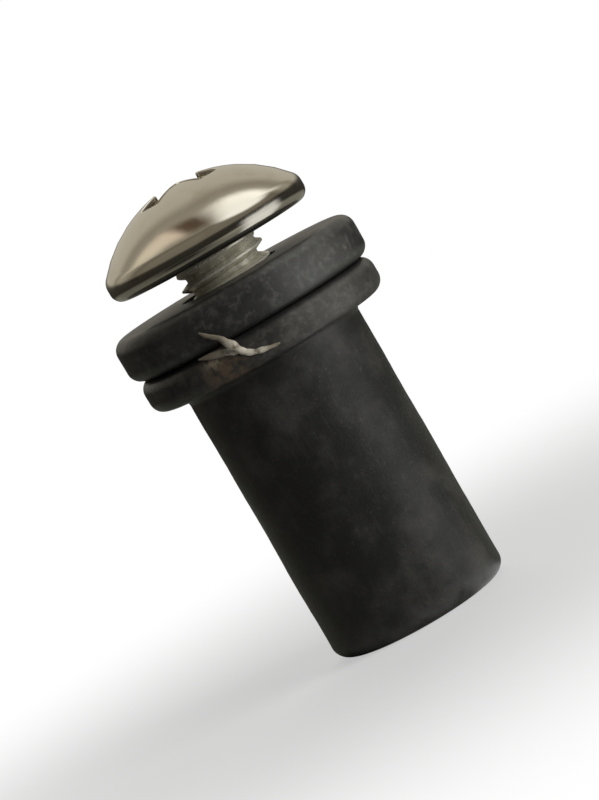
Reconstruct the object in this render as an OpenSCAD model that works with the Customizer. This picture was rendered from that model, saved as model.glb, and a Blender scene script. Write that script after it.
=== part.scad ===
// Fairing screw: a dome-head machine screw with a loose washer, threaded into
// a flanged rubber sleeve that holds a brass thread insert in its lower end.
// It stands on the sleeve's lower end, with its axis on Z and its head up.
// All sizes are in millimetres.

/* [Rubber sleeve] */
// Outside diameter of the sleeve, which plugs into the panel's hole
sleeve_d = 10; // [9.4:0.1:12]
// Length of the sleeve below its flange
sleeve_length = 15.7; // [13:0.1:18]
// Rounding of the sleeve's lower outer edge
sleeve_edge_r = 0.8; // [0.2:0.1:1.2]
// Gap all round between the screw's thread and the rubber
sleeve_play = 0.35; // [0.15:0.05:0.6]

/* [Flange] */
// Diameter of the flange
flange_d = 13.6; // [12:0.1:18]
// Thickness of the flange
flange_t = 1.9; // [1.3:0.1:3]
// Rounding of the flange's two outer edges
flange_edge_r = 0.7; // [0.1:0.05:0.9]
// Fillet between the flange and the sleeve
flange_root_r = 0.45; // [0.1:0.05:0.6]

/* [Thread insert] */
// Length of the brass insert
insert_length = 6.6; // [5:0.1:9]
// Brass wall around the insert's thread
insert_wall = 1.1; // [0.8:0.05:1.5]
// Width of each groove that keys the insert into the rubber
groove_w = 1; // [0.6:0.1:1.4]
// Depth of each groove
groove_depth = 0.4; // [0.2:0.05:0.6]
// Number of grooves
groove_count = 2; // [1:1:3]
// Thickness of the rubber lip below the insert
lip_t = 0.5; // [0.3:0.1:1]
// How far the lip laps over the insert's lower face
lip_lap = 0.6; // [0.3:0.05:0.9]

/* [Screw] */
// Diameter over the crests of the thread
thread_d = 4.9; // [4.4:0.05:5.2]
// Pitch of the thread
thread_pitch = 0.8; // [0.5:0.05:1]
// Running gap all round between the crests and the insert's bore
thread_play = 0.05; // [0.02:0.01:0.1]
// Length of the screw below its head
screw_length = 20; // [16:0.5:24]
// Chamfer at the screw's tip
tip_chamfer = 0.5; // [0.2:0.1:1]
// Turns that the screw is backed off from tight
turns_open = 2; // [1:0.25:4]

/* [Head] */
// Diameter of the head
head_d = 11.4; // [10:0.1:13]
// Height of the head
head_h = 4; // [3:0.1:4.6]
// Height of the upright rim at the head's edge
rim_h = 0.9; // [0.3:0.05:1.2]
// Rounding of the rim's lower edge
rim_edge_r = 0.6; // [0.05:0.05:0.8]
// Radius of the shoulder between the rim and the crown
shoulder_r = 0.8; // [0.4:0.1:1.8]
// Width of the cross recess over two opposite wings, at the head's surface
recess_span = 4.9; // [4:0.1:5.4]
// Width of each wing of the recess
wing_w = 1.45; // [1:0.05:1.7]
// Slope of the wings' outer ends from the screw's axis, in degrees
wing_slope = 26.5; // [20:0.5:30]
// Height of the wings' lower ends above the recess's floor
wing_lift = 0.3; // [0.2:0.05:0.6]
// Diameter of the recess's round core
recess_core_d = 2.3; // [2.1:0.1:2.6]
// Depth of the recess from the top of the head to its floor
recess_depth = 2.4; // [1.8:0.1:2.6]
// Depth of the point below the recess's floor
recess_point = 0.4; // [0.2:0.1:0.6]

/* [Washer] */
// How far the washer's edge stands past the flange's, all round
washer_overhang = 0.2; // [-0.8:0.1:2]
// Thickness of the washer
washer_t = 2.4; // [1.5:0.1:3.2]
// Rounding of the washer's two outer edges
washer_edge_r = 0.7; // [0.1:0.05:1]
// Gap all round between the screw's thread and the washer
washer_play = 0.3; // [0.15:0.05:0.6]

/* [Hidden] */
$fn = 128;
// Extra depth by which a cut passes the face that it opens
cut_past = 1;
// Largest part of a disc's height that one round edge may take
edge_share = 0.45;
// Largest part of the rim's height that its round edge may take
rim_share = 0.9;

thread_r = thread_d / 2;
sleeve_r = sleeve_d / 2;
insert_bore_r = thread_r + thread_play;
insert_r = insert_bore_r + insert_wall;
lip_hole_r = insert_r - lip_lap;
groove_space = insert_length / (groove_count + 1);
washer_r = flange_d / 2 + washer_overhang;

// Heights of the faces that the pieces share
insert_top_z = lip_t + insert_length;
washer_z = sleeve_length + flange_t;
head_z = washer_z + washer_t + turns_open * thread_pitch;

rim_round_r = min(rim_edge_r, rim_share * rim_h);

// The crown is an arc about a point on the axis. It meets the shoulder's arc
// on the line from that point through the shoulder's centre, and lies a hair
// inside it there, so that the two arcs cross and don't just touch.
crossing = 0.01;
shoulder_x = head_d / 2 - shoulder_r;
crown_rise = head_h - rim_h;
touching_r = (pow(shoulder_x, 2) + pow(crown_rise, 2) - pow(shoulder_r, 2)) / (2 * (crown_rise - shoulder_r));
crown_r = touching_r - crossing;
crown_z = head_h - touching_r;
wedge_reach = 2 * touching_r / (touching_r - shoulder_r);
wedge_top = (rim_h - crown_z) * wedge_reach;
crown_wedge = [[0, 0], [shoulder_x * wedge_reach, wedge_top], [0, wedge_top]];

// How far the crown falls from its top to the ends of the recess's wings
wing_drop = touching_r - sqrt(pow(touching_r, 2) - pow(recess_span / 2, 2));

// Half section of a disc with round outer edges, standing on its lower face
module disc_section(radius, height, edge_r) {
    round_r = min(edge_r, edge_share * height);
    square([radius - round_r, height]);
    translate([0, round_r]) square([radius, height - 2 * round_r]);
    for (z = [round_r, height - round_r]) {
        translate([radius - round_r, z]) circle(round_r);
    }
}

// Half section of a shaft from the axis outwards, open to the axis
module shaft_section(radius, low_z, high_z) {
    translate([0, low_z]) square([radius, high_z - low_z]);
}

// Half section of the sleeve's outside, with its round lower edge
module sleeve_section() {
    shaft_section(sleeve_r - sleeve_edge_r, 0, washer_z);
    shaft_section(sleeve_r, sleeve_edge_r, washer_z);
    translate([sleeve_r - sleeve_edge_r, sleeve_edge_r]) circle(sleeve_edge_r);
}

// Half section of the fillet in the corner below the flange
module root_fillet_section() {
    translate([sleeve_r, sleeve_length - flange_root_r]) difference() {
        square(flange_root_r);
        translate([flange_root_r, 0]) circle(flange_root_r);
    }
}

// Half section of the insert's outside, with the grooves that key it
module insert_section() {
    difference() {
        shaft_section(insert_r, lip_t, insert_top_z);
        for (i = [1 : groove_count]) {
            translate([insert_r - groove_depth, lip_t + i * groove_space - groove_w / 2]) {
                square([groove_depth + cut_past, groove_w]);
            }
        }
    }
}

// The moulded rubber: sleeve and flange in one piece, with the insert's seat,
// the hole for the screw above it and the lip's hole below it
module rubber_sleeve() {
    color("#2b2b2a") rotate_extrude() difference() {
        union() {
            sleeve_section();
            translate([0, sleeve_length]) disc_section(flange_d / 2, flange_t, flange_edge_r);
            root_fillet_section();
        }
        insert_section();
        shaft_section(thread_r + sleeve_play, insert_top_z, washer_z + cut_past);
        shaft_section(lip_hole_r, -cut_past, lip_t);
    }
}

// The turned brass insert, bored for the screw's thread
module brass_insert() {
    color("#b5903f") rotate_extrude() difference() {
        insert_section();
        shaft_section(insert_bore_r, lip_t - cut_past, insert_top_z + cut_past);
    }
}

// The loose washer, which lies on the flange
module washer() {
    color("#1d1d1d") translate([0, 0, washer_z]) rotate_extrude() difference() {
        disc_section(washer_r, washer_t, washer_edge_r);
        shaft_section(thread_r + washer_play, -cut_past, washer_t + cut_past);
    }
}

// Half section of the head: an upright rim with a round lower edge, a round
// shoulder and a domed crown
module head_section() {
    shaft_section(head_d / 2 - rim_round_r, 0, rim_h);
    shaft_section(head_d / 2, rim_round_r, rim_h);
    translate([head_d / 2 - rim_round_r, rim_round_r]) circle(rim_round_r);
    translate([shoulder_x, rim_h]) intersection() {
        circle(shoulder_r);
        square(shoulder_r);
    }
    intersection() {
        translate([0, crown_z]) circle(crown_r);
        translate([0, crown_z]) polygon(crown_wedge);
        shaft_section(head_d / 2, rim_h, head_h);
    }
}

// The driver's recess: a round core with a pointed floor, and four wings that
// narrow down to the core
module cross_recess() {
    core_r = recess_core_d / 2;
    core_top = recess_depth + cut_past;
    wing_h = core_top - wing_lift;
    wing_top_d = recess_span + 2 * (wing_drop + cut_past) * tan(wing_slope);
    wing_foot_d = wing_top_d - 2 * wing_h * tan(wing_slope);
    translate([0, 0, head_h - recess_depth]) {
        rotate_extrude() polygon([[0, -recess_point], [core_r, 0], [core_r, core_top], [0, core_top]]);
        translate([0, 0, wing_lift]) intersection() {
            cylinder(h = wing_h, d1 = wing_foot_d, d2 = wing_top_d);
            for (turn = [0, 90]) {
                rotate(turn) translate([-wing_top_d / 2, -wing_w / 2, 0]) cube([wing_top_d, wing_w, wing_h]);
            }
        }
    }
}

// Half section of the screw's shank, over the crests of its thread
module shank_section() {
    polygon([
        [0, -screw_length],
        [thread_r - tip_chamfer, -screw_length],
        [thread_r, tip_chamfer - screw_length],
        [thread_r, 0],
        [0, 0]
    ]);
}

// The plated steel screw: head, driver's recess and shank in one piece
module screw() {
    color("#d6d2c8") translate([0, 0, head_z]) difference() {
        rotate_extrude() {
            head_section();
            shank_section();
        }
        cross_recess();
    }
}

rubber_sleeve();
brass_insert();
washer();
screw();
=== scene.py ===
import math

import bmesh
import bpy
import numpy as np
from mathutils import Matrix, Vector, noise


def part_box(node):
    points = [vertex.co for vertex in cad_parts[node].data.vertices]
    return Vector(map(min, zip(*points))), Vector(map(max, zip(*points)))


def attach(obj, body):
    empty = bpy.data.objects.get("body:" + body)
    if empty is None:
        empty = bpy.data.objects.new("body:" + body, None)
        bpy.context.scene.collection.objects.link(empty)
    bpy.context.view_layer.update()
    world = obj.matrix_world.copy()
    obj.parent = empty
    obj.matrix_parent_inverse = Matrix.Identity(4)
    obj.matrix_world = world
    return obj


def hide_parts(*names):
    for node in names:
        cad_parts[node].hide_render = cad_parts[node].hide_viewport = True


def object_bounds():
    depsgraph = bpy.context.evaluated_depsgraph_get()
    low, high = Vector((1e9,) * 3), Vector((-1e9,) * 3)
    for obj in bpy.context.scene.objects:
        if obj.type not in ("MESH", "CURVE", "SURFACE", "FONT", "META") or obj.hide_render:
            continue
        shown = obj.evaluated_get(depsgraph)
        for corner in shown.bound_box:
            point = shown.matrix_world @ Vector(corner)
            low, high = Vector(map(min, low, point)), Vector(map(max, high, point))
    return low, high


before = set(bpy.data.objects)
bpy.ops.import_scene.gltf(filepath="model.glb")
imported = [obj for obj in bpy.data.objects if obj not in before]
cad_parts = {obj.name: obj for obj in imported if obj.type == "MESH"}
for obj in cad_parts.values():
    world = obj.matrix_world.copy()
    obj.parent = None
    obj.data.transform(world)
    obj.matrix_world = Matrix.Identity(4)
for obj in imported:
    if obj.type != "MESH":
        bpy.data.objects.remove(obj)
cad_low, cad_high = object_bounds()

# Thread insert
# A turned brass bush with two grooves that key it into the rubber and an M5 thread cut through it.
# It is moulded into the sleeve's lower end, and shows only from below, through the lip's hole.
MM = 0.001
WELD = 0.0002 * MM
SHARP_EDGE = math.radians(38)
FULL_TURN = 2 * math.pi

insert_low, insert_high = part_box("brass_insert")
insert_r = insert_high.x / MM
insert_foot_z = insert_low.z / MM
insert_top_z = insert_high.z / MM
insert_edge = 0.08
groove_w = 1.0
groove_depth = 0.4
groove_count = 2
insert_sides = 96

thread_pitch = 0.8
thread_crest_r = 2.45
thread_root_r = 1.96
thread_play = 0.05
nut_ridge_r = 2.07
rows_per_pitch = 16
crest_half_width = 1 / 16
root_half_width = 1 / 8

brass_colour = (0.60, 0.41, 0.15, 1)
brass_dull = (0.36, 0.25, 0.11, 1)
film_size = 1.4
film_edges = (0.42, 0.72)
turning_size = 0.05
turning_draw = (0.05, 0.05, 1)
turning_depth = 0.004
brass_rough = 0.24
film_rough = 0.22


def even_angles(sides):
    """Angles about the axis, spaced evenly over one turn."""
    return np.arange(sides) * FULL_TURN / sides


def lathe(section, angles):
    """Rings of points, in millimetres, of a half section that is turned about the axis."""
    radius, height = np.array(section, float).T
    ring = np.ones_like(angles)
    return np.stack(
        [np.outer(radius, np.cos(angles)), np.outer(radius, np.sin(angles)), np.outer(height, ring)],
        axis=-1,
    )


def numbered(rings, first=0):
    """The number that each point of some rings has in its mesh, with each ring closed on itself."""
    number = first + np.arange(rings.shape[0] * rings.shape[1]).reshape(rings.shape[:2])
    return np.hstack([number, number[:, :1]])


def skin(number):
    """Four-sided faces over a grid of point numbers."""
    corners = [number[:-1, :-1], number[:-1, 1:], number[1:, 1:], number[1:, :-1]]
    return np.stack(corners, axis=-1).reshape(-1, 4).tolist()


def thread_depth(phase):
    """How deep the thread is at a part of its pitch: 0 on its crest and 1 at its root."""
    from_crest = np.abs(phase - np.round(phase))
    flank = 0.5 - root_half_width - crest_half_width
    return np.clip((from_crest - crest_half_width) / flank, 0, 1)


def thread_rows(low_z, high_z, angles, radius_at):
    """Rows of points that climb with a right-hand thread and lie in a flat ring at its two ends."""
    base = (math.floor(low_z / thread_pitch) - 1) * thread_pitch
    count = math.ceil((high_z - base) / thread_pitch * rows_per_pitch) + 1
    turns = np.arange(count + rows_per_pitch)[:, None] / rows_per_pitch
    height = base + (turns + angles[None] / FULL_TURN) * thread_pitch
    height = np.clip(height, low_z, high_z)
    radius = radius_at(turns % 1, height)
    rows = np.stack([radius * np.cos(angles), radius * np.sin(angles), height], axis=-1)
    number = np.arange(rows.shape[0] * rows.shape[1]).reshape(rows.shape[:2])
    return rows, np.hstack([number[:count], number[rows_per_pitch:, :1]])


def make_piece(name, points, faces, finish):
    """One closed mesh from points in millimetres, welded where rows meet, its sharp edges marked."""
    mesh = bpy.data.meshes.new(name)
    mesh.from_pydata((points * MM).tolist(), [], faces)
    shape = bmesh.new()
    shape.from_mesh(mesh)
    bmesh.ops.remove_doubles(shape, verts=shape.verts, dist=WELD)
    bmesh.ops.dissolve_degenerate(shape, edges=shape.edges, dist=WELD)
    bmesh.ops.recalc_face_normals(shape, faces=shape.faces)
    shape.to_mesh(mesh)
    shape.free()
    mesh.shade_smooth()
    mesh.set_sharp_from_angle(angle=SHARP_EDGE)
    mesh.materials.append(finish)
    piece = bpy.data.objects.new(name, mesh)
    bpy.context.scene.collection.objects.link(piece)
    return piece


class Finish:
    """One output of a shader node. Sums on values add Math nodes, and add() makes any other node."""

    NEW_STOP = 0.5
    SPOT_CORE = 0.25

    def __init__(self, tree, socket=None):
        self.tree = tree
        self.socket = socket

    def add(self, kind, settings=None, sockets=None, output=0):
        """A new node: its settings first, then the value or link of each socket. Gives one output."""
        node = self.tree.nodes.new(kind)
        for name, value in (settings or {}).items():
            if name == "stops":
                self.set_stops(node.color_ramp.elements, value)
            else:
                setattr(node, name, value)
        for name, value in (sockets or {}).items():
            if isinstance(value, Finish):
                self.tree.links.new(value.socket, node.inputs[name])
            else:
                node.inputs[name].default_value = value
        return Finish(self.tree, node.outputs[output])

    def set_stops(self, elements, stops):
        """The places and colours of a colour ramp, which starts with two stops of its own."""
        while len(elements) < len(stops):
            elements.new(self.NEW_STOP)
        for element, (place, colour) in zip(elements, stops):
            element.position = place
            element.color = colour

    def sum(self, operation, first, second):
        """A Math node on two values."""
        return self.add("ShaderNodeMath", {"operation": operation}, {0: first, 1: second})

    def __add__(self, other):
        return self.sum("ADD", self, other)

    __radd__ = __add__

    def __sub__(self, other):
        return self.sum("SUBTRACT", self, other)

    def __rsub__(self, other):
        return self.sum("SUBTRACT", other, self)

    def __mul__(self, other):
        return self.sum("MULTIPLY", self, other)

    __rmul__ = __mul__

    def fade(self, low, high):
        """0 below one value, 1 above the other, and smooth between them."""
        limits = {"Value": self, "From Min": low, "From Max": high}
        return self.add("ShaderNodeMapRange", {"interpolation_type": "SMOOTHSTEP"}, limits)

    def mix(self, plain, marked):
        """A colour that goes from the plain one to the marked one with this mask."""
        return self.add("ShaderNodeMix", {"data_type": "RGBA"}, {0: self, 6: plain, 7: marked}, 2)

    def cloud(self, size, detail=4.0, roughness=0.55):
        """Noise with spots of a given size in millimetres, at the places that this socket gives."""
        settings = {"Scale": 1 / (size * MM), "Detail": detail, "Roughness": roughness, "Vector": self}
        return self.add("ShaderNodeTexNoise", {}, settings)

    def stretched(self, along):
        """These places squeezed by three shares, so that a cloud on them is drawn out."""
        return self.add("ShaderNodeVectorMath", {"operation": "MULTIPLY"}, {0: self, 1: along})

    def near(self, spot, reach):
        """1 in a spot's core, falling to 0 at some reach from its middle."""
        away = self.add("ShaderNodeVectorMath", {"operation": "DISTANCE"}, {0: self, 1: spot}, 1)
        return 1 - away.fade(self.SPOT_CORE * reach, reach)

    def along(self, axis):
        """How far these vectors reach along a direction."""
        return self.add("ShaderNodeVectorMath", {"operation": "DOT_PRODUCT"}, {0: self, 1: axis}, 1)

    def reach(self):
        """How long these vectors are."""
        return self.add("ShaderNodeVectorMath", {"operation": "LENGTH"}, {0: self}, 1)

    def part(self, axis):
        """One of the three numbers of a vector."""
        return self.add("ShaderNodeSeparateXYZ", {}, {0: self}, axis)

    def relief(self, depth, strength=1.0):
        """A bumped normal, with this value as its height over a depth in millimetres."""
        heights = {"Strength": strength, "Distance": depth * MM, "Height": self}
        return self.add("ShaderNodeBump", {}, heights)

    def ramp(self, stops):
        """A colour from a row of stops, which span the values from -1 to 1."""
        return self.add("ShaderNodeValToRGB", {"stops": stops}, {"Fac": 0.5 + 0.5 * self})


def start_finish(name, **constants):
    """A new material, the places on its piece, and its shader with the constants set."""
    material = bpy.data.materials.new(name)
    material.use_nodes = True
    tree = material.node_tree
    shader = tree.nodes["Principled BSDF"]
    for socket, value in constants.items():
        shader.inputs[socket.replace("_", " ")].default_value = value
    place = Finish(tree).add("ShaderNodeTexCoord", output="Object")
    return material, place, shader


def feed(shader, **values):
    """Links what varies over a surface to the shader's sockets."""
    for socket, value in values.items():
        value.tree.links.new(value.socket, shader.inputs[socket.replace("_", " ")])


def turned_brass():
    """Brass with fine turning lines round the axis and a dull film in patches."""
    material, place, shader = start_finish("turned_brass", Metallic=1.0)
    film = place.cloud(film_size).fade(*film_edges)
    lines = place.stretched(turning_draw).cloud(turning_size, detail=2.0)
    feed(shader, Base_Color=film.mix(brass_colour, brass_dull))
    feed(shader, Roughness=brass_rough + film_rough * film, Normal=lines.relief(turning_depth))
    return material


insert_section = [
    (thread_crest_r + thread_play, insert_foot_z),
    (insert_r - insert_edge, insert_foot_z),
    (insert_r, insert_foot_z + insert_edge),
]
for number in range(1, groove_count + 1):
    middle = insert_foot_z + number * (insert_top_z - insert_foot_z) / (groove_count + 1)
    groove = [(insert_r, middle - groove_w / 2), (insert_r - groove_depth, middle - groove_w / 2)]
    insert_section += groove
    insert_section += [(radius, 2 * middle - height) for radius, height in reversed(groove)]
insert_section += [
    (insert_r, insert_top_z - insert_edge),
    (insert_r - insert_edge, insert_top_z),
    (thread_crest_r + thread_play, insert_top_z),
]


def nut_thread_r(phase, height):
    """Radius of the insert's thread, which runs clear of the screw's and opens out at both ends."""
    cut = thread_crest_r + thread_play + (thread_root_r - thread_crest_r) * thread_depth(phase)
    from_end = np.minimum(height - insert_foot_z, insert_top_z - height)
    return np.maximum(np.maximum(cut, nut_ridge_r), thread_crest_r + thread_play - from_end)


insert_angles = even_angles(insert_sides)
insert_thread, insert_grid = thread_rows(insert_foot_z, insert_top_z, insert_angles, nut_thread_r)
insert_rings = lathe(insert_section, insert_angles)
insert_points = np.concatenate([insert_thread.reshape(-1, 3), insert_rings.reshape(-1, 3)])
insert_faces = skin(insert_grid) + skin(numbered(insert_rings, insert_thread.shape[0] * insert_sides))
insert = make_piece("thread_insert", insert_points, insert_faces, turned_brass())
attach(insert, "rubber_nut")
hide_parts("brass_insert")

# Rubber sleeve
# The black rubber body, with its flange, moulded in one piece round the insert. It plugs into the
# panel's hole. It is satin and dusty, paler towards its lower end and soiled on the flange's front.
sleeve_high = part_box("rubber_sleeve")[1]
sleeve_top_z = sleeve_high.z / MM
flange_r = sleeve_high.x / MM
flange_t = 1.9
flange_edge_r = 0.7
flange_root_r = 0.45
flange_z = sleeve_top_z - flange_t
sleeve_r = 5.0
sleeve_edge_r = 0.8
sleeve_bore_r = 2.8
lip_hole_r = 3.0
sleeve_sides = 192
row_space = 0.22
arc_step = 9

lump_size = 3.2
lump_depth = 0.07
pit_size = 0.7
pit_depth = 0.02

rubber_black = (0.016, 0.016, 0.0155, 1)
rubber_dust = (0.095, 0.092, 0.082, 1)
rubber_pale_end = (0.115, 0.114, 0.107, 1)
rubber_soil = (0.100, 0.070, 0.045, 1)
rubber_tan = (0.210, 0.180, 0.130, 1)
rubber_rough = 0.30
bloom_rough = 0.12
grain_rough = 0.08

bloom_size = 2.6
bloom_edges = (0.40, 0.78)
bloom_share = 0.85
speck_size = 0.22
speck_edges = (0.60, 0.76)
speck_share = 0.50
scuff_size = 0.30
scuff_draw = (1, 1, 0.12)
scuff_edges = (0.56, 0.74)
scuff_share = 0.16
scuff_depth = 0.10
fleck_size = 0.5
fleck_edges = (0.46, 0.66)
fleck_share = 0.40
disc_film = 0.06
disc_blend = 0.1
grain_size = 0.13
grain_share = 0.55
grain_strength = 0.7
wave_size = 0.9
wave_share = 0.45

sleeve_bloom = 0.50
sleeve_grain = 0.035
# How the rubber turns paler in cloudy patches towards its lower end.
pale_end_band = (0.1 * MM, 1.5 * MM)
pale_end_size = 1.6
pale_end_edges = (0.35, 0.70)
pale_end_share = 0.5
soil_reach = 2.0 * MM
soil_size = 0.5
soil_edges = (0.36, 0.62)
tan_reach = 0.8 * MM
tan_size = 0.3
tan_edges = (0.34, 0.58)

front_turn = math.radians(45)
front = Vector((math.sin(front_turn), -math.cos(front_turn), 0))
rightward = Vector((math.cos(front_turn), math.sin(front_turn), 0))
upward = Vector((0, 0, 1))


def as_seen(right, near, up):
    """A vector given to the right, towards the viewer and up, as the front of the screw is seen."""
    return right * rightward + near * front + up * upward


soil_place = as_seen(-2.4, 6.4, 16.2) * MM
tan_place = as_seen(-2.8, 6.1, 17.2) * MM
# Painted light, with some real dust: a paler patch on the right of the slot, where the key lamp falls.
dust_and_light_place = as_seen(4.2, 5.6, 17.8) * MM
dust_and_light_reach = 4.5 * MM
dust_and_light_share = 0.40
# Painted shade: a band round the slot between washer and flange, where the dust is left off so the slot
# shows dark.
slot_z = sleeve_top_z * MM
slot_shade = 0.5 * MM


def arc(centre, radius, start, end):
    """Points of an arc in a half section, between two angles in degrees."""
    steps = max(2, round(abs(end - start) / arc_step)) + 1
    angles = np.radians(np.linspace(start, end, steps))
    return [(centre[0] + radius * math.cos(a), centre[1] + radius * math.sin(a)) for a in angles]


def spaced(section, space):
    """A half section with points added on its long straight stretches."""
    points = []
    for start, end in zip(section, section[1:] + section[:1]):
        steps = max(1, math.ceil(math.dist(start, end) / space))
        points += [tuple(np.array(start) + (np.array(end) - start) * k / steps) for k in range(steps)]
    return points


def cloud_at(points, size):
    """Smooth noise from 0 to 1 at each of some points."""
    flat = points.reshape(-1, 3) / size
    values = np.array([noise.noise(Vector(place)) for place in flat])
    return np.clip(0.5 + 0.5 * values, 0, 1).reshape(points.shape[:-1])


def pushed_out(rings, step):
    """Rings of points moved away from the axis by a step at each point."""
    radius = np.hypot(rings[..., 0], rings[..., 1])
    moved = rings.copy()
    moved[..., :2] *= ((radius + step) / radius)[..., None]
    return moved


def uneven(rings, inner_r):
    """The small hollows of a moulded surface, outside a radius where nothing has to fit."""
    outside = np.hypot(rings[..., 0], rings[..., 1]) > inner_r
    hollow = lump_depth * cloud_at(rings, lump_size) + pit_depth * cloud_at(rings, pit_size)
    return pushed_out(rings, -hollow * outside)


def moulded_rubber(name, dust_share, grain_depth):
    """Satin black rubber: grain, scuffs along the axis, dust, a painted lit patch and painted slot
    shade.
    """
    material, place, shader = start_finish(name)
    bloom = place.cloud(bloom_size, detail=6.0, roughness=0.62).fade(*bloom_edges)
    specks = place.cloud(speck_size, detail=3.0).fade(*speck_edges)
    scuffs = place.stretched(scuff_draw).cloud(scuff_size).fade(*scuff_edges)
    dust_and_painted_light = dust_share * (bloom_share * bloom + speck_share * specks + scuff_share * scuffs)
    height = place.part(2)
    flecks = place.cloud(fleck_size, detail=6.0, roughness=0.7).fade(*fleck_edges)
    on_disc = height.fade((flange_z - disc_blend) * MM, (flange_z + disc_blend) * MM)
    dust_and_painted_light = dust_and_painted_light + on_disc * (disc_film + fleck_share * flecks)
    # Painted light, with some real dust: a paler patch on the right of the slot, where the key lamp
    # falls.
    dust_and_painted_light = dust_and_painted_light + dust_and_light_share * place.near(dust_and_light_place, dust_and_light_reach)
    # Painted shade: the dust is left off in a band round the slot, so the slot shows as a dark line.
    above_slot = height.fade(slot_z, slot_z + slot_shade)
    below_slot = 1 - height.fade(slot_z - slot_shade, slot_z)
    dust_and_painted_light = dust_and_painted_light * (above_slot + below_slot)
    grain = place.cloud(grain_size)
    waves = place.cloud(wave_size, detail=3.0)
    relief = grain_share * grain + wave_share * waves - scuff_depth * scuffs
    feed(shader, Roughness=rubber_rough + bloom_rough * bloom + grain_rough * grain)
    feed(shader, Normal=relief.relief(grain_depth, grain_strength))
    return material, place, shader, dust_and_painted_light


def sleeve_rubber():
    """The sleeve's rubber, paler towards its lower edge, with soil and a tan smear on the flange."""
    material, place, shader, dust_and_painted_light = moulded_rubber("sleeve_rubber", sleeve_bloom, sleeve_grain)
    colour = dust_and_painted_light.mix(rubber_black, rubber_dust)
    # Paler in cloudy patches all round the lower end.
    near_lower_end = 1 - place.part(2).fade(*pale_end_band)
    pale_end_mask = near_lower_end * place.cloud(pale_end_size).fade(*pale_end_edges)
    colour = (pale_end_share * pale_end_mask).mix(colour, rubber_pale_end)
    soil = place.near(soil_place, soil_reach) * place.cloud(soil_size, detail=5.0).fade(*soil_edges)
    colour = soil.mix(colour, rubber_soil)
    smear = place.near(tan_place, tan_reach) * place.cloud(tan_size).fade(*tan_edges)
    feed(shader, Base_Color=smear.mix(colour, rubber_tan))
    return material


sleeve_section = [(lip_hole_r, 0)]
sleeve_section += arc((sleeve_r - sleeve_edge_r, sleeve_edge_r), sleeve_edge_r, -90, 0)
sleeve_section += arc((sleeve_r + flange_root_r, flange_z - flange_root_r), flange_root_r, 180, 90)
sleeve_section += arc((flange_r - flange_edge_r, flange_z + flange_edge_r), flange_edge_r, -90, 0)
sleeve_section += arc((flange_r - flange_edge_r, sleeve_top_z - flange_edge_r), flange_edge_r, 0, 90)
sleeve_section += [(sleeve_bore_r, sleeve_top_z), (sleeve_bore_r, insert_top_z)]
sleeve_section += reversed(insert_section[1:-1])
sleeve_section += [(lip_hole_r, insert_foot_z)]
sleeve_rings = lathe(spaced(sleeve_section, row_space), even_angles(sleeve_sides))
sleeve_rings = uneven(sleeve_rings, sleeve_r - sleeve_edge_r)
sleeve_grid = numbered(sleeve_rings)
sleeve_faces = skin(np.vstack([sleeve_grid, sleeve_grid[:1]]))
sleeve = make_piece("sleeve_moulding", sleeve_rings.reshape(-1, 3), sleeve_faces, sleeve_rubber())
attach(sleeve, "rubber_nut")
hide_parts("rubber_sleeve")

# Strand of flash
# A pale strand of rubber that the mould left. It is grown to the flange's front, crosses the slot and
# stands up close in front of the washer, which it doesn't touch. A short one branches off to the left.
strand_routes = [
    [
        (5, 16.28, 6.74), (0, 16.34, 6.78), (-5, 16.48, 6.80), (-9, 16.66, 6.82),
        (-11, 16.98, 6.92), (-12, 17.30, 7.08), (-14, 17.62, 7.15),
        (-15, 17.98, 7.16), (-19, 18.30, 7.16), (-22, 18.70, 7.15),
    ],
    [(-8, 16.72, 6.80), (-13, 16.98, 6.72), (-18, 17.22, 6.72), (-23, 17.36, 6.80), (-29, 17.52, 6.90)],
]
strand_widths = (0.21, 0.19)
strand_flat = 0.65
strand_sides = 12
strand_steps = 72
strand_smooth = 13
strand_tip = 0.06
strand_taper = 0.6
strand_least = 0.5
strand_knot = 0.35
strand_pale = (0.52, 0.48, 0.39, 1)
strand_brown = (0.17, 0.145, 0.105, 1)
strand_middle = as_seen(-1.2, 6.9, 16.6) * MM
strand_reach = 1.8 * MM
strand_rough = 0.45
flash_stain_size = 0.45
flash_stain_edges = (0.46, 0.70)
flash_stain_rough = 0.25
flash_grain = 0.09
flash_depth = 0.03
flash_strength = 0.6


def strand_flash():
    """Thin pale rubber flash, stained brown in places."""
    material, place, shader = start_finish("strand_flash")
    clean = 1 - place.cloud(flash_stain_size).fade(*flash_stain_edges)
    stain = 1 - place.near(strand_middle, strand_reach) * clean
    feed(shader, Base_Color=stain.mix(strand_pale, strand_brown))
    feed(shader, Roughness=strand_rough + flash_stain_rough * stain)
    feed(shader, Normal=place.cloud(flash_grain).relief(flash_depth, flash_strength))
    return material


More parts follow.
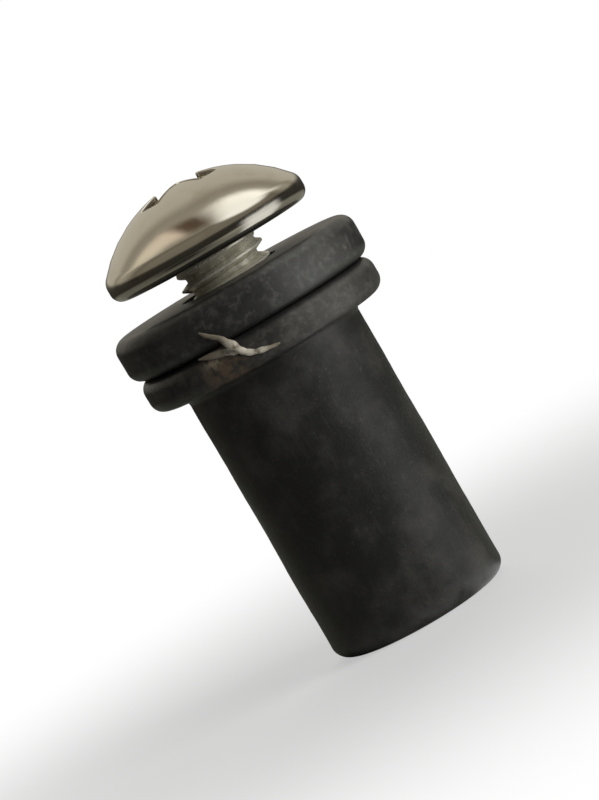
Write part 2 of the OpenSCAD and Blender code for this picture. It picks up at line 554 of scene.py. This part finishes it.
def strand_rings(route, width):
    """Rings of points round a strand on a route of angles, heights and radii, thin at both ends."""
    stops = np.arange(len(route))
    steps = np.linspace(0, stops[-1], strand_steps)
    values = np.stack([np.interp(steps, stops, column) for column in np.array(route, float).T], axis=-1)
    weights = np.hanning(strand_smooth + 2)[1:-1]
    rim = strand_smooth // 2
    for column in values.T:
        column[rim:-rim] = np.convolve(column, weights / weights.sum(), "valid")
    angle = front_turn + np.radians(values[:, 0])
    outward = np.stack([np.sin(angle), -np.cos(angle), np.zeros(strand_steps)], axis=-1)
    line = outward * values[:, 2:]
    line[:, 2] = values[:, 1]
    forward = np.gradient(line, axis=0)
    across = np.cross(outward, forward)
    across /= np.linalg.norm(across, axis=1)[:, None]
    taper = np.sin(np.linspace(strand_tip, math.pi - strand_tip, strand_steps)) ** strand_taper
    size = width * taper * (strand_least + cloud_at(line, strand_knot))
    turn = even_angles(strand_sides)[None, :, None]
    around = np.cos(turn) * across[:, None] + strand_flat * np.sin(turn) * outward[:, None]
    return line[:, None] + size[:, None, None] * around


strand_points = []
strand_faces = []
for route, width in zip(strand_routes, strand_widths):
    rings = strand_rings(route, width)
    grid = numbered(rings, len(strand_points) * strand_steps * strand_sides)
    strand_points.append(rings.reshape(-1, 3))
    strand_faces += skin(grid) + [grid[0, :-1].tolist(), grid[-1, :-1].tolist()]
strand = make_piece("flash_strand", np.concatenate(strand_points), strand_faces, strand_flash())
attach(strand, "rubber_nut")

# Washer
# A thick soft washer with round edges, moulded in black rubber. It is loose on the screw and lies on
# the flange.
washer_low, washer_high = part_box("washer")
washer_z = washer_low.z / MM
washer_top_z = washer_high.z / MM
washer_r = washer_high.x / MM
washer_edge_r = 0.7
washer_hole_r = 2.75
washer_black = (0.017, 0.017, 0.0165, 1)
washer_dust = (0.105, 0.104, 0.097, 1)
washer_bloom = 0.28
washer_grain = 0.026


def washer_rubber():
    """The washer's rubber, with less dust and a finer grain than the sleeve's."""
    material, place, shader, dust_and_painted_light = moulded_rubber("washer_rubber", washer_bloom, washer_grain)
    feed(shader, Base_Color=dust_and_painted_light.mix(washer_black, washer_dust))
    return material


washer_section = [(washer_hole_r, washer_z)]
washer_section += arc((washer_r - washer_edge_r, washer_z + washer_edge_r), washer_edge_r, -90, 0)
washer_section += arc((washer_r - washer_edge_r, washer_top_z - washer_edge_r), washer_edge_r, 0, 90)
washer_section += [(washer_hole_r, washer_top_z)]
washer_rings = lathe(spaced(washer_section, row_space), even_angles(sleeve_sides))
washer_rings = uneven(washer_rings, washer_r - washer_edge_r)
washer_grid = numbered(washer_rings)
washer_faces = skin(np.vstack([washer_grid, washer_grid[:1]]))
washer = make_piece("soft_washer", washer_rings.reshape(-1, 3), washer_faces, washer_rubber())
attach(washer, "loose_washer")
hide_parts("washer")

# Screw
# The machine screw: a low domed head with a cross recess, cold formed in one piece with its shank,
# then given a rolled M5 thread and bright warm plating. It is threaded into the insert.
screw_low, screw_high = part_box("screw")
screw_tip_z = screw_low.z / MM
screw_length = 20.0
tip_chamfer = 0.5
neck_r = 2.3
neck_h = 0.7
run_out_share = 0.8
head_z = screw_tip_z + screw_length
head_r = screw_high.x / MM
head_h = 4.0
rim_h = 0.9
rim_edge_r = 0.6
shoulder_r = 0.8
seat_gap = 0.02
underside_ring_r = (2.6, 3.4, 4.2, 5.0)
tip_ring_r = (0.05, 0.7, 1.4)

recess_span = 4.9
recess_edge_r = 0.10
wing_w = 1.45
wing_slope = math.tan(math.radians(26.5))
wing_corner = 0.16
wing_lift = 0.3
recess_core_r = 1.15
recess_depth = 2.4
recess_point = 0.4
point_shares = (1, 0.5, 0.02)
edge_turns = np.radians([22.5, 45, 67.5, 90])
least_turn = 0.02
outline_steps = 400
octant_points = 16
blend_from_r = 3.2
blend_rings = 7
wall_rings = 9

plate_warm = (0.79, 0.75, 0.66, 1)
plate_stain = (0.52, 0.44, 0.33, 1)
plate_rough = 0.12
plate_low = -0.25
plate_high = 0.05
stain_size = 2.2
stain_edges = (0.50, 0.80)
stain_share = 0.45
stain_rough = 0.06
wipe_size = 0.35
wipe_draw = (1, 0.15, 0.4)
wipe_edges = (0.52, 0.78)
wipe_rough = 0.05
wipe_depth = 0.10
ripple_size = 1.1
ripple_depth = 0.010
ripple_strength = 0.5
thread_steel = (0.82, 0.79, 0.67, 1)
thread_soil = (0.50, 0.47, 0.37, 1)
thread_metal = 0.6
thread_rough = 0.24
thread_soil_size = 0.5
thread_soil_edges = (0.30, 0.60)
thread_soil_rough = 0.30

shoulder_x = head_r - shoulder_r
crown_rise = head_h - rim_h
crown_r = (shoulder_x**2 + crown_rise**2 - shoulder_r**2) / (2 * (crown_rise - shoulder_r))
crown_z = head_z + head_h - crown_r
crown_end = math.degrees(math.atan2(head_z + rim_h - crown_z, shoulder_x))


def crown_at(radius):
    """Height of the head's crown at a distance from the axis."""
    return crown_z + np.sqrt(crown_r**2 - np.square(radius))


def softened(first, second, blend):
    """The smaller of two sizes, rounded where they cross."""
    share = np.clip(0.5 + 0.5 * (second - first) / blend, 0, 1)
    return second + (first - second) * share - blend * share * (1 - share)


def recess_r(angles, wing_r):
    """Distance from the axis to the recess's wall, with wings that reach to a radius."""
    from_wing = np.abs((angles + math.pi / 4) % (math.pi / 2) - math.pi / 4)
    side = wing_w / 2 / np.sin(np.maximum(from_wing, least_turn))
    wing = softened(wing_r, side, wing_corner)
    return -softened(-wing, -recess_core_r, wing_corner)


def recess_angles():
    """Angles about the axis at even steps along the recess's outline, alike in its eight parts."""
    octant = np.linspace(0, math.pi / 4, outline_steps)
    radius = recess_r(octant, recess_span / 2)
    outline = np.stack([radius * np.cos(octant), radius * np.sin(octant)], axis=-1)
    length = np.append(0, np.cumsum(np.linalg.norm(np.diff(outline, axis=0), axis=1)))
    half = np.interp(np.linspace(0, length[-1], octant_points + 1), length, octant)
    quarter = np.append(half[:-1], math.pi / 2 - half[:0:-1])
    return np.concatenate([quarter + turn * math.pi / 2 for turn in range(4)])


def plated_steel():
    """Bright warm plating with faint stains and wipe marks, duller and soiled in the thread's roots."""
    material, place, shader = start_finish("plated_steel")
    on_head = place.part(2).fade((head_z + plate_low) * MM, (head_z + plate_high) * MM)
    stain = place.cloud(stain_size, detail=5.0).fade(*stain_edges)
    wiped = place.stretched(wipe_draw).cloud(wipe_size, detail=5.0).fade(*wipe_edges)
    from_axis = place.stretched((1, 1, 0)).reach()
    in_root = 1 - from_axis.fade(thread_root_r * MM, thread_crest_r * MM)
    soil = in_root * place.cloud(thread_soil_size, detail=5.0).fade(*thread_soil_edges)
    head_colour = (stain_share * stain).mix(plate_warm, plate_stain)
    thread_colour = soil.mix(thread_steel, thread_soil)
    feed(shader, Base_Color=on_head.mix(thread_colour, head_colour))
    head_rough = plate_rough + wipe_rough * wiped + stain_rough * stain
    soiled_rough = thread_rough + thread_soil_rough * soil
    feed(shader, Roughness=on_head * head_rough + (1 - on_head) * soiled_rough)
    feed(shader, Metallic=on_head + (1 - on_head) * thread_metal)
    ripple = place.cloud(ripple_size, detail=2.0) + wipe_depth * wiped
    feed(shader, Normal=ripple.relief(ripple_depth, ripple_strength))
    return material


def screw_thread_r(phase, height):
    """Radius of the screw's thread, cut by the chamfer at its tip and running out under the head."""
    cut = thread_crest_r + (thread_root_r - thread_crest_r) * thread_depth(phase)
    chamfer = thread_crest_r - tip_chamfer + height - screw_tip_z
    run_out = np.clip((height - head_z + neck_h) / (run_out_share * neck_h), 0, 1)
    run_out = run_out * run_out * (3 - 2 * run_out)
    return np.minimum(cut + (neck_r - cut) * run_out, chamfer)


screw_angles = recess_angles()
screw_thread, screw_grid = thread_rows(screw_tip_z, head_z, screw_angles, screw_thread_r)

tip_section = [(radius, screw_tip_z) for radius in (*tip_ring_r, thread_crest_r - tip_chamfer)]
head_section = [(neck_r, head_z)]
head_section += [(radius, head_z + seat_gap) for radius in underside_ring_r]
head_section += arc((head_r - rim_edge_r, head_z + seat_gap + rim_edge_r), rim_edge_r, -90, 0)
head_section += arc((shoulder_x, head_z + rim_h), shoulder_r, 0, crown_end)
blend_end = math.degrees(math.acos(blend_from_r / crown_r))
head_section += arc((0, crown_z), crown_r, crown_end, blend_end)[1:]

outline_r = recess_r(screw_angles, recess_span / 2)
recess_rings = []
for share in np.linspace(0, 1, blend_rings)[1:]:
    radius = blend_from_r + (outline_r + recess_edge_r - blend_from_r) * share
    recess_rings.append((radius, crown_at(radius)))
edge_top_z = crown_at(outline_r + recess_edge_r)
for turn in edge_turns:
    radius = outline_r + recess_edge_r * (1 - math.sin(turn))
    recess_rings.append((radius, edge_top_z - recess_edge_r * (1 - math.cos(turn))))
recess_floor_z = head_z + head_h - recess_depth
wing_foot_z = recess_floor_z + wing_lift
wing_edge_z = crown_at(recess_span / 2)
wall_top_z = recess_rings[-1][1]
for share in np.linspace(0, 1, wall_rings)[1:]:
    height = wall_top_z + (wing_foot_z - wall_top_z) * share
    wing_r = recess_span / 2 - np.maximum(wing_edge_z - height, 0) * wing_slope
    recess_rings.append((recess_r(screw_angles, wing_r), height))
core = np.full_like(screw_angles, recess_core_r)
recess_rings.append((core, np.full_like(core, wing_foot_z)))
for share in point_shares:
    height = recess_floor_z - (1 - share) * recess_point
    recess_rings.append((share * core, np.full_like(core, height)))
recess_points = np.stack([
    np.stack([radius * np.cos(screw_angles), radius * np.sin(screw_angles), height], axis=-1)
    for radius, height in recess_rings
])

tip_rings = lathe(tip_section, screw_angles)
head_rings = np.concatenate([lathe(head_section, screw_angles), recess_points])
screw_points = np.concatenate([rings.reshape(-1, 3) for rings in (screw_thread, tip_rings, head_rings)])
tip_grid = numbered(tip_rings, screw_thread.shape[0] * screw_thread.shape[1])
head_grid = numbered(head_rings, tip_grid[-1, -2] + 1)
screw_faces = skin(screw_grid) + skin(tip_grid) + skin(head_grid)
screw_faces += [tip_grid[0, :-1].tolist(), head_grid[-1, :-1].tolist()]
screw = make_piece("plated_screw", screw_points, screw_faces, plated_steel())
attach(screw, "machine_screw")
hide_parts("screw")

# Floor, light and camera
# A pale floor that turns into a white background, a low soft lamp at the front right and a weak one
# behind. Glossy rays see a plain room, with a window band overhead, a soft box high at the right and
# a dark horizon, and a dark floor that is pale near the part and in a strip at the right.
floor_reach = 1.0
floor_corners = ((-1, -1), (1, -1), (1, 1), (-1, 1))
floor_colour = (0.80, 0.79, 0.77, 1)
floor_rough = 0.9
floor_mirrored = (0.36, 0.36, 0.30, 1)
floor_dark = (0.02, 0.02, 0.017, 1)
floor_gap = 0.02 * MM
floor_near = 8 * MM
floor_far = 60 * MM
floor_white = 0.5
mirror_near = 70 * MM
mirror_far = 170 * MM
patch_place = as_seen(-38, 62, 0) * MM
patch_reach = 60 * MM
strip_from = as_seen(0.914, 0.407, 0)
strip_inner = math.cos(math.radians(12))
strip_outer = math.cos(math.radians(32))
strip_share = 0.75
white = (1, 1, 1, 1)
black = (0, 0, 0, 1)
room_light = (0.07, 0.07, 0.072, 1)
room_stops = [
    (0.05, (0.16, 0.145, 0.12, 1)),
    (0.26, (0.19, 0.17, 0.135, 1)),
    (0.36, (0.15, 0.13, 0.105, 1)),
    (0.44, (0.27, 0.25, 0.20, 1)),
    (0.52, (0.36, 0.33, 0.27, 1)),
    (0.62, (0.27, 0.245, 0.20, 1)),
    (0.68, (0.46, 0.43, 0.36, 1)),
    (1.00, (0.54, 0.51, 0.44, 1)),
]
room_spread = 0.7
window_stops = [
    (0.10, (0.34, 0.31, 0.26, 1)),
    (0.22, (0.72, 0.66, 0.53, 1)),
    (0.36, (0.74, 0.62, 0.51, 1)),
    (0.42, (0.10, 0.068, 0.045, 1)),
    (0.51, (0.09, 0.060, 0.042, 1)),
    (0.60, (0.66, 0.64, 0.58, 1)),
    (0.70, (1.25, 1.23, 1.15, 1)),
    (0.80, (1.35, 1.33, 1.25, 1)),
    (0.92, (0.34, 0.33, 0.29, 1)),
]
window_slant = 0.5
window_bend = 0.7
window_round = 0.04
square_root = 0.5
window_near = 0.2
window_half = 0.06
window_soft = 0.16
window_rise = (0.15, 0.45)
horizon_share = 0.12
horizon_top = 0.20

key_from = as_seen(0.74, 0.64, 0.14)
key_power = 0.285
back_from = as_seen(0.10, -0.90, 0.45)
back_power = 0.11
lamp_away = 170 * MM
lamp_size = 110 * MM
box_from = as_seen(0.585, 0.20, 0.787)
box_inner = math.cos(math.radians(13))
box_outer = math.cos(math.radians(30))
box_glow = (1.1, 1.1, 1.05, 1)

camera_rise = math.radians(5)
camera_lean = math.radians(30)
camera_away = 200 * MM
frame_height = 41 * MM
camera_clip = 1 * MM
sensor = 36.0

floor_mesh = bpy.data.meshes.new("floor")
corners = [(x * floor_reach, y * floor_reach, -floor_gap) for x, y in floor_corners]
floor_mesh.from_pydata(corners, [], [(0, 1, 2, 3)])
floor = bpy.data.objects.new("floor", floor_mesh)
bpy.context.scene.collection.objects.link(floor)
floor_material, place, floor_shader = start_finish("pale_floor", Roughness=floor_rough)
mirrored = place.add("ShaderNodeLightPath", output="Is Glossy Ray")
away = place.reach()
mirrored_floor = place.near(patch_place, patch_reach).mix(floor_mirrored, floor_dark)
mirrored_floor = away.fade(mirror_near, mirror_far).mix(mirrored_floor, floor_dark)
feed(floor_shader, Base_Color=mirrored.mix(floor_colour, mirrored_floor))
seen = place.add("ShaderNodeLightPath", output="Is Camera Ray")
far = away.fade(floor_near, floor_far)
far = floor_white + (1 - floor_white) * far
glow = place.add("ShaderNodeEmission", {}, {"Color": white, "Strength": 1.0})
surface = Finish(floor_material.node_tree, floor_shader.outputs[0])
toward = place.add("ShaderNodeVectorMath", {"operation": "NORMALIZE"}, {0: place})
strip = strip_share * toward.along(strip_from).fade(strip_outer, strip_inner)
blended = place.add("ShaderNodeMixShader", {}, {0: seen * far + mirrored * strip, 1: surface, 2: glow})
feed(floor_material.node_tree.nodes["Material Output"], Surface=blended)
floor_mesh.materials.append(floor_material)

world = bpy.data.worlds.new("studio")
world.use_nodes = True
bpy.context.scene.world = world
background = world.node_tree.nodes["Background"]
sky = Finish(world.node_tree)
direction = sky.add("ShaderNodeTexCoord", output="Generated")
right = direction.along(rightward)
rise = direction.part(2)
aside = right.sum("POWER", right * right + window_round, square_root)
bent = direction.along(-front) - window_bend * aside + window_near
over_horizon = horizon_share + (1 - horizon_share) * rise.fade(0, horizon_top)
room = over_horizon.mix(black, (room_spread * bent).ramp(room_stops))
window = (right + window_slant * bent).ramp(window_stops)
band = bent.fade(-window_half - window_soft, -window_half)
band = band * (1 - bent.fade(window_half, window_half + window_soft))
room = (band * rise.fade(*window_rise)).mix(room, window)
box = direction.along(box_from.normalized()).fade(box_outer, box_inner)
room = box.mix(room, box_glow)
mirrored = sky.add("ShaderNodeLightPath", output="Is Glossy Ray")
direct = sky.add("ShaderNodeLightPath", output="Is Camera Ray")
feed(background, Color=direct.mix(mirrored.mix(room_light, room), white))

aim = Vector((0, 0, cad_high.z / 2))


def soft_lamp(name, side, power):
    """A square soft lamp that lights the object from one side, and that the plating doesn't mirror."""
    lamp = bpy.data.lights.new(name, "AREA")
    lamp.size = lamp_size
    lamp.energy = power
    stand = bpy.data.objects.new(name, lamp)
    stand.location = aim + side.normalized() * lamp_away
    stand.rotation_euler = side.to_track_quat("Z", "Y").to_euler()
    stand.visible_glossy = False
    bpy.context.scene.collection.objects.link(stand)


soft_lamp("key_lamp", key_from, key_power)
soft_lamp("back_lamp", back_from, back_power)

back = as_seen(0, math.cos(camera_rise), math.sin(camera_rise))
level_up = back.cross(rightward)
camera_right = math.cos(camera_lean) * rightward - math.sin(camera_lean) * level_up
camera_up = math.sin(camera_lean) * rightward + math.cos(camera_lean) * level_up
camera = bpy.data.cameras.new("camera")
camera.sensor_width = sensor
camera.lens = sensor * camera_away / frame_height
camera.clip_start = camera_clip
holder = bpy.data.objects.new("camera", camera)
turned = Matrix((camera_right, camera_up, back)).transposed().to_4x4()
holder.matrix_world = Matrix.Translation(aim + back * camera_away) @ turned
bpy.context.scene.collection.objects.link(holder)
bpy.context.scene.camera = holder
bpy.context.scene.view_settings.view_transform = "Standard"
